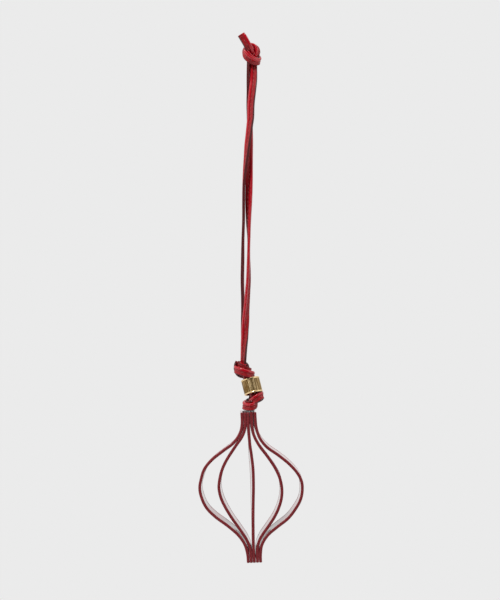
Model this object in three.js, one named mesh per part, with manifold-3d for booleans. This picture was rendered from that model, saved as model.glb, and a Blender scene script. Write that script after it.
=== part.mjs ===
// A hanging leather charm: five bent leather strips form an open onion outline, and a doubled
// leather lace with a brass bead between two overhand knots carries it.
// Millimetres, +Z up, front towards -Y. The origin is the hang point, inside the loop of the lace
// just under its top knot.
import * as THREE from "three";
import { mergeVertices } from "three/addons/utils/BufferGeometryUtils.js";
import Module from "manifold-3d";

const wasm = await Module();
wasm.setup();

// Driving dimensions of the lantern of five strips
const lantern_height = 85;
const lantern_half_width = 29;
const lantern_top = [-1.5, 0, -194.6];
const lantern_lean_deg = 2.2;
const strip_depth = 12;
const strip_thickness = 1.5;
const strip_edge_round = 0.25;
const strip_steps = 36;
const divisions_per_point = 24;

// The bight of the lace, pressed thin, which passes through the necks of the three inner strips
const bight_width = 3;
const bight_thickness = 1.2;
const bight_drop = 6;
const bight_spread = 3.5;
const bight_clearance = 0.35;
const bight_headroom = 0.7;
const bight_play = 1.2;
const cut_overrun = 1;

// Driving dimensions of the lace, a strap folded lengthwise and stitched
const strap_width = 4.2;
const strap_thickness = 1.75;
const strap_edge_round = 0.5;
const strap_gap = 0.3;
const lace_bond = 0.1;
const join_tolerance = 0.01;
const strand_steps = 38;
const tail_steps = 6;
const knot_stretches = 4;
const knot_steps = 36;
const core_steps = 6;
const bight_steps = 16;

// Driving dimensions of the brass bead
const bead_diameter = 10.7;
const bead_height = 8.8;
const bead_wall = 1;
const bead_centre = [0.5, 0, -180.2];
const bead_lean_deg = 14.4;
const bead_nod_deg = 13;
const rim_height = 0.9;
const rim_stand = 0.15;
const flute_count = 44;
const flute_depth = 0.25;
const round_sides = 64;

// How the strips run, as seen from the front, from the neck at the top to the foot. Each row is
// the share of the lantern's height below the top and the share of its half width from the axis.
// The turns are the angles by which the strip's depth is turned in plan at each row, its back to
// the left.
const outer_left_shares = [
  [0, -0.129],
  [0.098, -0.139],
  [0.151, -0.19],
  [0.203, -0.308],
  [0.247, -0.49],
  [0.305, -0.722],
  [0.364, -0.885],
  [0.431, -0.964],
  [0.492, -0.99],
  [0.553, -0.962],
  [0.623, -0.871],
  [0.686, -0.7],
  [0.751, -0.46],
  [0.814, -0.266],
  [0.877, -0.155],
  [0.939, -0.123],
  [1, -0.116],
];
const outer_left_turns_deg = [0, -1, -2, -5.5, -7.5, -6.5, -4, -2, -1, -0.8, 0, 0, 0, 0, 0, 0, 0];
const inner_left_shares = [
  [0, -0.071],
  [0.107, -0.08],
  [0.16, -0.135],
  [0.226, -0.264],
  [0.309, -0.432],
  [0.376, -0.539],
  [0.444, -0.599],
  [0.497, -0.613],
  [0.558, -0.583],
  [0.62, -0.512],
  [0.699, -0.387],
  [0.777, -0.238],
  [0.847, -0.117],
  [0.909, -0.065],
  [1, -0.057],
];
const inner_left_turns_deg = [0, -0.6, -2, -4.4, -4, -2, -1, -2, -2, -1, 0, 0, 0, 0, 0];
const middle_shares = [
  [0, -0.012],
  [0.123, -0.01],
  [0.207, 0.006],
  [0.284, 0.029],
  [0.376, 0.048],
  [0.49, 0.048],
  [0.604, 0.034],
  [0.757, 0.016],
  [0.887, 0.002],
  [1, 0.002],
];
const middle_turns_deg = [0, 0, 0.5, 4.5, 6, 4.8, 3, 0.5, 0, 0];
const inner_right_shares = [
  [0, 0.049],
  [0.101, 0.061],
  [0.155, 0.084],
  [0.225, 0.181],
  [0.295, 0.329],
  [0.374, 0.477],
  [0.444, 0.569],
  [0.513, 0.602],
  [0.574, 0.589],
  [0.634, 0.538],
  [0.701, 0.441],
  [0.769, 0.299],
  [0.835, 0.158],
  [0.888, 0.088],
  [1, 0.06],
];
const inner_right_turns_deg = [0, 1, 2.5, 4.5, 4.8, 3, 1, 1, 1, 0.5, 0, 0, 0, 0, 0];
const outer_right_shares = [
  [0, 0.128],
  [0.056, 0.131],
  [0.109, 0.141],
  [0.172, 0.208],
  [0.235, 0.36],
  [0.291, 0.578],
  [0.355, 0.792],
  [0.418, 0.93],
  [0.472, 0.991],
  [0.526, 1],
  [0.587, 0.967],
  [0.646, 0.871],
  [0.713, 0.708],
  [0.771, 0.478],
  [0.822, 0.293],
  [0.881, 0.174],
  [0.942, 0.128],
  [1, 0.121],
];
const outer_right_turns_deg = [2, 2, 2, 1, 0, 0, 0, 0.5, 1, 1, 0, 0, 0, 0, 0, 0, 0, 0];

// The overhand knot of the doubled lace, from its way in at the bottom to the middle of its belt,
// in shares of the knot's size: back, left and up from its centre. The other half is this one
// turned half round about the axis through the middle of the belt.
const half_knot_shares = [
  [0.45, -0.25, -0.65],
  [0.85, -0.5, -0.05],
  [1.3, -0.4, 0.35],
  [1.5, 0.1, 0.58],
  [1.2, 0.8, 0.62],
  [0.5, 1.15, 0.52],
  [-0.15, 0.95, 0.36],
  [-0.5, 0.45, 0.18],
];
const knot_middle_share = [-0.58, 0, 0];

// The direction of the straps' width at each of those places
const half_knot_side_shares = [
  [0, -1, 0.15],
  [-0.3, -0.8, 0.6],
  [-0.3, -0.3, 1],
  [0, 0, 1],
  [0, 0, 1],
  [0, 0, 1],
  [0, 0, 1],
  [0, 0, 1],
];
const knot_middle_side_share = [0, 0, 1];

// The first half of the top knot, whose turn stands up wide behind the tails
const wide_half_shares = [
  [0.45, -0.15, -0.9],
  [0.55, -0.4, -0.2],
  [0.6, -0.8, 0.4],
  [1.1, -0.8, 0.8],
  [1.5, -0.15, 1],
  [1.3, 0.65, 0.95],
  [0.68, 1, 0.7],
  [-0.12, 0.86, 0.46],
  [-0.5, 0.45, 0.2],
];
const wide_half_side_shares = [
  [0, -1, 0.15],
  [-0.3, -0.6, 0.8],
  [-0.3, 0.2, 1],
  [-0.5, 0.3, 1],
  [-0.6, 0, 1],
  [-0.3, -0.3, 1],
  [0, -0.2, 1],
  [0, 0, 1],
  [0, 0, 1],
];

// Where the knots lie and how they are turned, leaned to the left and nodded to the front
const top_knot = {
  centre: [0, -0.9, 7.4],
  size: 3.7,
  tall_share: 1,
  turn_deg: 0,
  lean_deg: -16,
  nod_deg: 42,
  first_shares: wide_half_shares,
  first_side_shares: wide_half_side_shares,
};
const bead_knot = {
  centre: [-3.6, -1.3, -170.6],
  size: 3.4,
  tall_share: 1.15,
  turn_deg: 0,
  lean_deg: 6,
  nod_deg: 0,
  first_shares: half_knot_shares,
  first_side_shares: half_knot_side_shares,
};
const lower_knot = {
  centre: [1, 1.2, -189.1],
  size: 3.6,
  tall_share: 1.16,
  turn_deg: 180,
  lean_deg: -4,
  nod_deg: 0,
  first_shares: half_knot_shares,
  first_side_shares: half_knot_side_shares,
};

// The doubled lace below, between and above the two lower knots. Each row is a place and, after
// it, the direction of the straps' width there.
const foot_route = [
  [[-1.3, 0, -193.5], [-1, 0, 0]],
  [[-1.2, 0, -192.9], [-1, 0, 0]],
];
const core_route = [
  [[1.5, -0.3, -184.2], [-1, 0, 0]],
  [[0.9, -0.1, -181.8], [-1, 0, 0]],
  [[-0.1, 0.2, -178.8], [-1, 0, 0]],
  [[-1.2, 0.3, -176.2], [-1, 0, 0]],
];
const head_route = [
  [[-4.6, 0.2, -167.2], [1, 0, 0]],
  [[-4.6, 0.2, -166], [1, 0, 0]],
];

// The doubled lace below and above the top knot
const neck_route = [
  [[0.5, 1.5, 3.7], [1, 0, 0]],
];
const tail_route = [
  [[-1.7, -4.6, 13], [0.9, 0, 0.4]],
  [[-3.5, -5.5, 16.2], [0.9, 0, 0.4]],
  [[-5.65, -6, 20.2], [0.9, 0, 0.4]],
];
const tail_cut_back = 1.2;

// The two free strands of the loop. They turn once round each other on the way down.
const strand_left_route = [
  [[-1.75, -0.3, 2.3], -90],
  [[-1.88, 0.5, -5.7], -92],
  [[-1.55, 1.9, -11.4], -98],
  [[-1.2, 2.4, -20], -112],
  [[-0.75, 2.4, -27.4], -122],
  [[-0.57, 2.3, -34.2], -130],
  [[-0.6, 2.2, -39.9], -138],
  [[-0.85, 2, -48.4], -152],
  [[-0.97, 1.7, -54.1], -163],
  [[-1, 1.5, -59.8], -175],
  [[-1.1, 1.2, -68.4], -198],
  [[-1.2, 0.9, -74.1], -213],
  [[-1.3, 0.7, -80.9], -232],
  [[-1.35, 0.3, -87.8], -248],
  [[-1.25, 0, -94], -263],
  [[-1.25, 0, -99.8], -270],
  [[-1.35, -0.1, -106.6], -274],
  [[-1.37, -0.3, -111.1], -281],
  [[-1.48, -0.6, -119.7], -292],
  [[-1.88, -0.9, -125.4], -297],
  [[-2.25, -1.3, -131.1], -301],
  [[-2.8, -1.7, -137.9], -313],
  [[-3.08, -1.9, -142.5], -334],
  [[-3.42, -2.1, -148.2], -362],
  [[-3.65, -2.2, -152.2], -378],
  [[-4, -2, -156.8], -398],
  [[-4.2, -1.6, -160.7], -408],
  [[-4.4, -1, -165.5], -414],
];
const strand_right_route = [
  [[1.42, 0.4, 2.3], 0],
  [[1.4, -0.7, -5.7], -12],
  [[0.85, -1.9, -11.4], -20],
  [[-0.06, -2.2, -20], -26],
  [[-0.27, -2.2, -27.4], -33],
  [[-0.75, -2.1, -31.4], -40],
  [[-1.4, -2, -37], -46],
  [[-2.15, -1.9, -42.8], -53],
  [[-2.65, -1.7, -48.4], -62],
  [[-3.2, -1.4, -54.1], -71],
  [[-3.65, -1.1, -59.8], -79],
  [[-4.05, -0.8, -65.6], -88],
  [[-4.2, -0.5, -74.1], -90],
  [[-4.25, -0.1, -85.5], -90],
  [[-4.6, 0, -96.9], -92],
  [[-4.73, 0.3, -108.3], -97],
  [[-4.9, 0.8, -119.7], -98],
  [[-4.65, 1.3, -131.1], -98],
  [[-4.67, 1.8, -137.9], -97],
  [[-4.8, 2.1, -142.5], -96],
  [[-4.85, 2.3, -148.2], -95],
  [[-4.7, 2.8, -156.8], -95],
  [[-4.4, 3.1, -165.5], -95],
];

const radians = THREE.MathUtils.degToRad;

// Materials
const red_leather = new THREE.MeshStandardMaterial({ color: 0xa8101c, roughness: 0.35 });
const maroon_leather = new THREE.MeshStandardMaterial({ color: 0x762c2e, roughness: 0.5 });
const brass = new THREE.MeshStandardMaterial({ color: 0xb08a4a, roughness: 0.3, metalness: 1 });

// A route with a chosen direction of width at each of its points, for a band that turns over
class BandRoute extends THREE.CatmullRomCurve3 {
  constructor(points, sides) {
    super(points, false, "centripetal");
    this.sides = new THREE.CatmullRomCurve3(sides, false, "centripetal");
  }

  // The direction of width at a share of the length, square to the route
  sideAt(share) {
    const tangent = this.getTangentAt(share);
    const side = this.sides.getPoint(this.getUtoTmapping(share));
    return side.addScaledVector(tangent, -side.dot(tangent)).normalize();
  }

  // The share of the length at which the route passes one of its points
  shareAt(index) {
    const last = this.points.length - 1;
    const lengths = this.getLengths(last * divisions_per_point);
    return lengths[index * divisions_per_point] / lengths[last * divisions_per_point];
  }
}

// A stretch of a route, moved through the band's thickness by an offset
class Stretch extends THREE.Curve {
  constructor(route, from, to, offset) {
    super();
    this.route = route;
    this.shareOf = (t) => THREE.MathUtils.lerp(from, to, t);
    this.offset = offset;
  }

  getPoint(t) {
    const share = this.shareOf(t);
    const side = this.route.sideAt(share);
    const through = new THREE.Vector3().crossVectors(this.route.getTangentAt(share), side);
    return this.route.getPointAt(share).addScaledVector(through, this.offset);
  }

  computeFrenetFrames(segments) {
    const frames = { tangents: [], normals: [], binormals: [] };
    for (let i = 0; i <= segments; i++) {
      const share = this.shareOf(this.getUtoTmapping(i / segments));
      const tangent = this.route.getTangentAt(share);
      const side = this.route.sideAt(share);
      frames.tangents.push(tangent);
      frames.normals.push(side);
      frames.binormals.push(new THREE.Vector3().crossVectors(tangent, side));
    }
    return frames;
  }
}

// The section of a flat band with eased corners: width across, thickness through
function bandSection(width, thickness, round) {
  const x = width / 2;
  const y = thickness / 2;
  const corners = [
    [x, -y + round],
    [x, y - round],
    [x - round, y],
    [-x + round, y],
    [-x, y - round],
    [-x, -y + round],
    [-x + round, -y],
    [x - round, -y],
  ];
  return new THREE.Shape(corners.map(([a, b]) => new THREE.Vector2(a, b)));
}

function band(route, section, steps) {
  return new THREE.ExtrudeGeometry(section, { steps, extrudePath: route });
}

// Closed meshes to solids and back, for cuts and joins
function solid(geometry) {
  const bare = geometry.index ? geometry.toNonIndexed() : geometry.clone();
  bare.deleteAttribute("normal");
  bare.deleteAttribute("uv");
  const merged = mergeVertices(bare);
  return new wasm.Manifold(
    new wasm.Mesh({
      numProp: 3,
      vertProperties: new Float32Array(merged.attributes.position.array),
      triVerts: new Uint32Array(merged.index.array),
    }),
  );
}

function geometryOf(made) {
  const mesh = made.getMesh();
  const geometry = new THREE.BufferGeometry();
  geometry.setAttribute("position", new THREE.BufferAttribute(mesh.vertProperties, 3));
  geometry.setIndex(new THREE.BufferAttribute(mesh.triVerts, 1));
  geometry.computeVertexNormals();
  return geometry;
}

function piece(name, geometry, material) {
  const mesh = new THREE.Mesh(geometry, material);
  mesh.name = name;
  return mesh;
}

const vector = ([x, y, z]) => new THREE.Vector3(x, y, z);
const upward = new THREE.Vector3(0, 0, 1);

// The lantern
// Each strip is a flat band on edge: its depth runs front to back and it bends in the front view.
function stripRoute(route_shares, turns_deg) {
  const points = route_shares.map(
    ([down, out]) => new THREE.Vector3(out * lantern_half_width, 0, -down * lantern_height),
  );
  const sides = turns_deg.map((turn_deg) => {
    const turn = radians(turn_deg);
    return new THREE.Vector3(-Math.sin(turn), Math.cos(turn), 0);
  });
  return new BandRoute(points, sides);
}

const strip_section = bandSection(strip_depth, strip_thickness, strip_edge_round);

function strip(route_shares, turns_deg) {
  const route = stripRoute(route_shares, turns_deg);
  return band(new Stretch(route, 0, 1, 0), strip_section, strip_steps);
}

// The bight passes under a bridge left at the top of the middle strip, and lies in notches in the
// strips beside it, which are open at the top
const middle_at_top = middle_shares[0][1] * lantern_half_width;
const opening_width = bight_width + 2 * bight_play;
const opening_foot = -bight_drop - bight_thickness / 2 - bight_clearance;
const window_height = bight_thickness + bight_clearance + bight_headroom;
const notch_height = cut_overrun - opening_foot;

function neckCutter(width_across, height) {
  const cutter = new THREE.BoxGeometry(width_across, opening_width, height);
  cutter.translate(middle_at_top, 0, opening_foot + height / 2);
  return solid(cutter);
}

const strip_pitch = strip_thickness + 2 * bight_clearance;
const notch = neckCutter(2 * strip_pitch + strip_thickness, notch_height);
const bight_window = neckCutter(strip_pitch + strip_thickness / 2, window_height);

function cutStrip(geometry, cutter) {
  return geometryOf(solid(geometry).subtract(cutter));
}

const lantern = new THREE.Group();
lantern.position.fromArray(lantern_top);
lantern.rotation.y = -radians(lantern_lean_deg);
const lantern_strips = {
  strip_outer_left: strip(outer_left_shares, outer_left_turns_deg),
  strip_inner_left: cutStrip(strip(inner_left_shares, inner_left_turns_deg), notch),
  strip_middle: cutStrip(strip(middle_shares, middle_turns_deg), bight_window),
  strip_inner_right: cutStrip(strip(inner_right_shares, inner_right_turns_deg), notch),
  strip_outer_right: strip(outer_right_shares, outer_right_turns_deg),
};
for (const [name, geometry] of Object.entries(lantern_strips)) {
  lantern.add(piece(name, geometry, maroon_leather));
}

// The bight: down one notch, through the window and up the other
function bightGeometry() {
  const half = bight_spread / 2;
  const bend = -bight_drop + half;
  const points = [
    [-half, 0, 0],
    [-half, 0, bend / 2],
    [-half, 0, bend],
    [-half * Math.SQRT1_2, 0, bend - half * Math.SQRT1_2],
    [0, 0, -bight_drop],
    [half * Math.SQRT1_2, 0, bend - half * Math.SQRT1_2],
    [half, 0, bend],
    [half, 0, bend / 2],
    [half, 0, 0],
  ];
  const route = new BandRoute(
    points.map(vector),
    points.map(() => new THREE.Vector3(0, 1, 0)),
  );
  const section = bandSection(bight_width, bight_thickness, strip_edge_round);
  const geometry = band(new Stretch(route, 0, 1, 0), section, bight_steps);
  geometry.translate(middle_at_top, 0, 0);
  return geometry;
}

lantern.add(piece("bight", bightGeometry(), red_leather));

const charm = new THREE.Group();
charm.add(lantern);

// The bead: a fluted barrel between two smooth rims, bored through for the doubled lace
function turned(profile) {
  const points = profile.map(([r, z]) => new THREE.Vector2(r, z));
  const geometry = new THREE.LatheGeometry([...points, points[0]], round_sides);
  geometry.rotateX(Math.PI / 2);
  return geometry;
}

function beadGeometry() {
  const outer = bead_diameter / 2;
  const inner = outer - bead_wall;
  const half = bead_height / 2;
  const barrel_outer = outer - rim_stand;
  const barrel = new THREE.Shape();
  for (let i = 0; i < flute_count * 2; i++) {
    const angle = (Math.PI * i) / flute_count;
    const r = barrel_outer - (i % 2) * flute_depth;
    const point = [r * Math.cos(angle), r * Math.sin(angle)];
    if (i === 0) barrel.moveTo(...point);
    else barrel.lineTo(...point);
  }
  const bore = new THREE.Path();
  bore.absarc(0, 0, inner, 0, 2 * Math.PI, true);
  barrel.holes.push(bore);
  const body = new THREE.ExtrudeGeometry(barrel, {
    depth: bead_height - rim_height,
    bevelEnabled: false,
    curveSegments: round_sides,
  });
  body.translate(0, 0, -half + rim_height / 2);
  const rim = (z) =>
    turned([
      [inner, z - rim_height / 2],
      [outer, z - rim_height / 2],
      [outer, z + rim_height / 2],
      [inner, z + rim_height / 2],
    ]);
  const top = solid(rim(half - rim_height / 2));
  const bottom = solid(rim(-half + rim_height / 2));
  return geometryOf(solid(body).add(top).add(bottom));
}

const bead = piece("bead", beadGeometry(), brass);
bead.rotation.order = "YXZ";
bead.rotation.y = -radians(bead_lean_deg);
bead.rotation.x = -radians(bead_nod_deg);
bead.position.fromArray(bead_centre);
charm.add(bead);

// The lace
// A knot's places and directions are turned from back, left and up into the charm's own axes
function knotTurn(knot) {
  const turn = new THREE.Euler(
    radians(knot.nod_deg),
    -radians(knot.lean_deg),
    radians(knot.turn_deg),
    "YXZ",
  );
  return ([back, left, up]) => new THREE.Vector3(-left, back, up).applyEuler(turn);
}

const halfTurned = ([back, left, up]) => [back, -left, -up];
const halfTurnedSide = ([back, left, up]) => [-back, left, up];

function knotRoute(knot) {
  const place = knotTurn(knot);
  const places = [
    ...knot.first_shares,
    knot_middle_share,
    ...half_knot_shares.map(halfTurned).reverse(),
  ];
  const sides = [
    ...knot.first_side_shares,
    knot_middle_side_share,
    ...half_knot_side_shares.map(halfTurnedSide).reverse(),
  ];
  const squeezed = ([back, left, up]) => [back, left, up * knot.tall_share];
  return places.map((share, i) => [
    place(squeezed(share)).multiplyScalar(knot.size).add(vector(knot.centre)).toArray(),
    place(sides[i]).toArray(),
  ]);
}

// A strap looks the same turned half round, so each direction of width is kept on the side of the
// one before it
function routeLine(rows) {
  const sides = rows.map(([, side]) => vector(side));
  sides.forEach((side, i) => {
    if (i > 0 && side.dot(sides[i - 1]) < 0) side.negate();
  });
  return new BandRoute(rows.map(([place]) => vector(place)), sides);
}

const strap_section = bandSection(strap_width, strap_thickness, strap_edge_round);
const half_pair = (strap_thickness - lace_bond) / 2;

// The straps of the doubled lace between two shares of its line, joined into one solid. They cross
// themselves in a knot, so each is made in stretches that don't, and these are joined.
function doubledLace(line, from, to, stretches, steps) {
  const overrun = (to - from) / steps;
  let joined = null;
  for (const offset of [-half_pair, half_pair]) {
    for (let i = 0; i < stretches; i++) {
      const start = THREE.MathUtils.lerp(from, to, i / stretches) - (i > 0 ? overrun : 0);
      const end = THREE.MathUtils.lerp(from, to, (i + 1) / stretches);
      const stretch = new Stretch(line, start, end, offset);
      const part = solid(band(stretch, strap_section, Math.round(steps / stretches)));
      joined = joined ? joined.add(part) : part;
    }
  }
  // The small pockets that the turns close between them are left solid
  const shells = joined.simplify(join_tolerance).decompose();
  shells.sort((one, other) => other.volume() - one.volume());
  return geometryOf(shells[0].simplify(join_tolerance));
}

const lower_rows = knotRoute(lower_knot);
const upper_rows = knotRoute(bead_knot);
const lower_line = routeLine([
  ...foot_route,
  ...lower_rows,
  ...core_route,
  ...upper_rows,
  ...head_route,
]);
const core_first = foot_route.length + lower_rows.length;
const core_last = core_first + core_route.length - 1;
const core_from = lower_line.shareAt(core_first);
const core_to = lower_line.shareAt(core_last);
const lower_gap = strap_gap / lower_line.getLength();
charm.add(
  piece(
    "lower_knot",
    doubledLace(lower_line, 0, core_from - lower_gap, knot_stretches, knot_steps),
    red_leather,
  ),
);
charm.add(
  piece("core", doubledLace(lower_line, core_from, core_to, 1, core_steps), red_leather),
);
charm.add(
  piece(
    "bead_knot",
    doubledLace(lower_line, core_to + lower_gap, 1, knot_stretches, knot_steps),
    red_leather,
  ),
);

const top_rows = knotRoute(top_knot);
const top_line = routeLine([...neck_route, ...top_rows, ...tail_route]);
const tail_from = top_line.shareAt(neck_route.length + top_rows.length);
const top_gap = strap_gap / top_line.getLength();
charm.add(
  piece(
    "top_knot",
    doubledLace(top_line, 0, tail_from - top_gap, knot_stretches, knot_steps),
    red_leather,
  ),
);

const tail_offset = (strap_thickness + strap_gap) / 2;
const tail_cut = tail_cut_back / top_line.getLength();
const tail = (to, offset) =>
  band(new Stretch(top_line, tail_from, to, offset), strap_section, tail_steps);
charm.add(piece("tail_back", tail(1, tail_offset), red_leather));
charm.add(piece("tail_front", tail(1 - tail_cut, -tail_offset), red_leather));

// The strands turn about the vertical as they hang, each by the angle in its route
function strand(rows) {
  const line = new BandRoute(
    rows.map(([place]) => vector(place)),
    rows.map(([, turn_deg]) => new THREE.Vector3(1, 0, 0).applyAxisAngle(upward, radians(turn_deg))),
  );
  return band(new Stretch(line, 0, 1, 0), strap_section, strand_steps);
}

charm.add(piece("strand_left", strand(strand_left_route), red_leather));
charm.add(piece("strand_right", strand(strand_right_route), red_leather));

export default charm;
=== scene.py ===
# %% [markdown]
# # A hanging leather charm
# Five bent leather strips stand in an open onion outline. They hang on a doubled leather lace,
# knotted three times, with a fluted brass bead between the two lower knots. The rigid frame comes
# from the imported CAD model. This notebook dresses it: each stretch of lace, each strip and the bead
# gets its finished form and its material, and the knots, the strips and the bead ride on the bodies
# that carry them.

# %% Load the frame
import math

import bmesh
import bpy
import numpy as np
from mathutils import Matrix, Vector


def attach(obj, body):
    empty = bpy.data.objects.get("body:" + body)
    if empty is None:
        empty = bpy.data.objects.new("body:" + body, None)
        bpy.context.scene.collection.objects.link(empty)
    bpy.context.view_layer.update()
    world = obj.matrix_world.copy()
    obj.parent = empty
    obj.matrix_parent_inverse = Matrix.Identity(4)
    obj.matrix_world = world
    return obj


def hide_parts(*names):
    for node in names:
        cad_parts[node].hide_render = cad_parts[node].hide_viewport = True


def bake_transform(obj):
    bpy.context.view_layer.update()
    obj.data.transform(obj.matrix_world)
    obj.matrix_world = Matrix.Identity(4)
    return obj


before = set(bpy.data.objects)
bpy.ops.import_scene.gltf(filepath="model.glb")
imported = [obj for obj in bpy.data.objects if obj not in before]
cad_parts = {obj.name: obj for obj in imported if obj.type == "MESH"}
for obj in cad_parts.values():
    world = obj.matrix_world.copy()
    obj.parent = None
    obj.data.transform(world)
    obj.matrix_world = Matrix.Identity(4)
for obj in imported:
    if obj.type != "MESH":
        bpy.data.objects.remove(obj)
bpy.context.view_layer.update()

mm = 0.001

# %% [markdown]
# ## Camera
# The photograph looks at the charm squarely from the front, from a little over half a metre, a
# touch below the middle of the lace. The charm fills nearly the whole height of a tall frame, so
# the sensor is fitted to the height.

# %% Set the camera
camera_data = bpy.data.cameras.new("front_camera")
camera_data.sensor_fit = "VERTICAL"
camera_data.sensor_height = 36
camera_data.lens = 60.7
camera = bpy.data.objects.new("front_camera", camera_data)
camera.location = (-0.57 * mm, -577 * mm, -131.1 * mm)
camera.rotation_euler = (math.radians(90), 0, 0)
bpy.context.scene.collection.objects.link(camera)
bpy.context.scene.camera = camera
print("camera at", tuple(camera.location))

# %% [markdown]
# ## Routes
# Leather that bends keeps one width and one thickness, so every strap and strip here is a flat
# section carried along a route. A route is a few listed places with a direction of width at
# each. A centripetal spline joins them: it never overshoots between unevenly spaced points, which
# a plain spline would do in the tight turns of a knot.

# %% Smooth a few points into a line
points_per_span = 16


def smooth_line(points):
    points = [Vector(p) for p in points]
    ends = [points[0] * 2 - points[1], *points, points[-1] * 2 - points[-2]]
    line = []
    for a, b, c, d in zip(ends, ends[1:], ends[2:], ends[3:]):
        ab, bc, cd = (max((q - p).length, 1e-6) ** 0.5 for p, q in ((a, b), (b, c), (c, d)))
        leave = ((b - a) / ab - (c - a) / (ab + bc) + (c - b) / bc) * bc
        arrive = ((c - b) / bc - (d - b) / (bc + cd) + (d - c) / cd) * bc
        for i in range(points_per_span):
            t = i / points_per_span
            line.append(
                b * (1 + t * t * (2 * t - 3)) + leave * t * (1 - t) ** 2
                + c * t * t * (3 - 2 * t) + arrive * t * t * (t - 1)
            )
    return np.array([*line, points[-1]])


corner = smooth_line([(0, 0, 0), (1, 0, 0), (1, 1, 0)])
print("a corner of three places becomes", len(corner), "points")

# %% [markdown]
# A frame is a place on the route with its axes: X across the strap, Y through its thickness and Z
# along the route. Carrying the section from frame to frame is all that a sweep does.

# %% Turn a route into evenly spaced frames
def frames_along(places, sides, step, offset=0.0, shifts=None, flip=False):
    shifts = shifts or [0.0] * len(places)
    rows = smooth_line(places)
    sides = smooth_line(sides)
    shifts = np.interp(np.arange(len(rows)), np.arange(len(shifts)) * points_per_span, shifts)
    along = np.concatenate([[0], np.cumsum(np.linalg.norm(np.diff(rows, axis=0), axis=1))])
    even = np.linspace(0, along[-1], max(2, round(along[-1] / step)) + 1)
    spots = np.column_stack([np.interp(even, along, rows[:, k]) for k in range(3)])
    widths = np.column_stack([np.interp(even, along, sides[:, k]) for k in range(3)])
    tangents = np.gradient(spots, axis=0)
    frames = []
    for spot, width, tangent, shift in zip(spots, widths, tangents, np.interp(even, along, shifts)):
        z = Vector(tangent).normalized()
        x = Vector(width)
        x = (x - z * x.dot(z)).normalized()
        y = z.cross(x)
        turned = Matrix((x, y, z)).transposed().to_4x4()
        turned.translation = Vector(spot) + y * offset + x * shift
        if flip:
            turned = turned @ Matrix.Rotation(math.pi, 4, "Z")
        frames.append(turned)
    return frames


straight = frames_along([(0, 0, 0), (0, 0, 5 * mm), (0, 0, 10 * mm)], [(1, 0, 0)] * 3, 1 * mm)
print("10 mm in steps of 1 mm take", len(straight), "frames")

# %% [markdown]
# Cut leather has a soft end, not a sharp step. Three extra frames at each end, each drawn in a
# little less than the one before, follow a quarter circle. A bevel would round the ends too, but
# here they need no second tool: the sweep takes the extra frames like any others.

# %% Round the ends of a strap
def round_ends(frames, half_width, half_thickness, radius):
    first, last = frames[0], frames[-1]
    rounded = []
    for degrees in (0, 25, 55):
        turn = math.radians(degrees)
        inset = radius * (1 - math.sin(turn))
        ahead = radius * (1 - math.cos(turn))
        shrink = Matrix.Diagonal((1 - inset / half_width, 1 - inset / half_thickness, 1, 1))
        rounded.append((ahead, shrink))
    head = [first @ Matrix.Translation((0, 0, a)) @ shrink for a, shrink in rounded]
    tail = [last @ Matrix.Translation((0, 0, -a)) @ shrink for a, shrink in rounded[::-1]]
    start = first @ Matrix.Translation((0, 0, radius))
    stop = last @ Matrix.Translation((0, 0, -radius))
    return [*head, start, *frames[1:-1], stop, *tail]


print("with round ends they take", len(round_ends(straight, 2 * mm, 1 * mm, 0.3 * mm)))

# %% [markdown]
# ## The sweep
# The section starts as a ring of edges. Extruding the ring and moving the new one to the next
# frame makes one band of faces, and doing it again and again makes the strap. The bead grows the
# same way, so extruding a ring is a function of its own. Each vertex also keeps where it lies in
# the strap before bending: across, through and along. The materials read that place, so paint,
# stitches and grain follow the leather round every turn.

# %% Sweep a section along frames
def extrude_ring(bm, edges):
    grown = bmesh.ops.extrude_edge_only(bm, edges=edges)["geom"]
    ring = [g for g in grown if isinstance(g, bmesh.types.BMVert)]
    fresh = set(ring)
    edges = [
        g for g in grown
        if isinstance(g, bmesh.types.BMEdge) and all(v in fresh for v in g.verts)
    ]
    return ring, edges


def sweep(bm, section, frames):
    place = bm.verts.layers.float_vector.get("strap_place")
    lengths = [(b.translation - a.translation).length for a, b in zip(frames, frames[1:])]
    along = 0.0
    ring = [bm.verts.new(frames[0] @ Vector((x, y, 0))) for x, y in section]
    for vert, (x, y) in zip(ring, section):
        vert[place] = (x, y, 0)
    edges = [bm.edges.new((a, b)) for a, b in zip(ring, ring[1:] + ring[:1])]
    bm.faces.new(ring[::-1])
    for before, after, length in zip(frames, frames[1:], lengths):
        ring, edges = extrude_ring(bm, edges)
        bmesh.ops.transform(bm, matrix=after @ before.inverted(), verts=ring)
        along += length
        for vert in ring:
            vert[place] = (vert[place].x, vert[place].y, along)
    bmesh.ops.edgeloop_fill(bm, edges=edges)
    return along

# %% [markdown]
# A bmesh is only a drawing board. To be seen it is written into a mesh, with smooth shading that
# stops at real corners, and the mesh is hung on an object. The object stays at the origin, because
# the routes already say where each piece is.

# %% Start a bmesh and finish a piece
def new_bmesh():
    bm = bmesh.new()
    bm.verts.layers.float_vector.new("strap_place")
    return bm


def finish_piece(name, bm, materials, sharp_deg=50):
    bmesh.ops.recalc_face_normals(bm, faces=bm.faces)
    mesh = bpy.data.meshes.new(name)
    bm.to_mesh(mesh)
    bm.free()
    mesh.polygons.foreach_set("use_smooth", [True] * len(mesh.polygons))
    mesh.set_sharp_from_angle(angle=math.radians(sharp_deg))
    for finish in materials:
        mesh.materials.append(finish)
    piece = bpy.data.objects.new(name, mesh)
    bpy.context.scene.collection.objects.link(piece)
    print(name, len(mesh.polygons), "faces")
    return piece


probe = new_bmesh()
probe_length = sweep(probe, [(-mm, -mm), (mm, -mm), (mm, mm), (-mm, mm)], straight)
print("a square bar swept", round(probe_length / mm, 2), "mm has", len(probe.faces), "faces")
probe.free()

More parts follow.
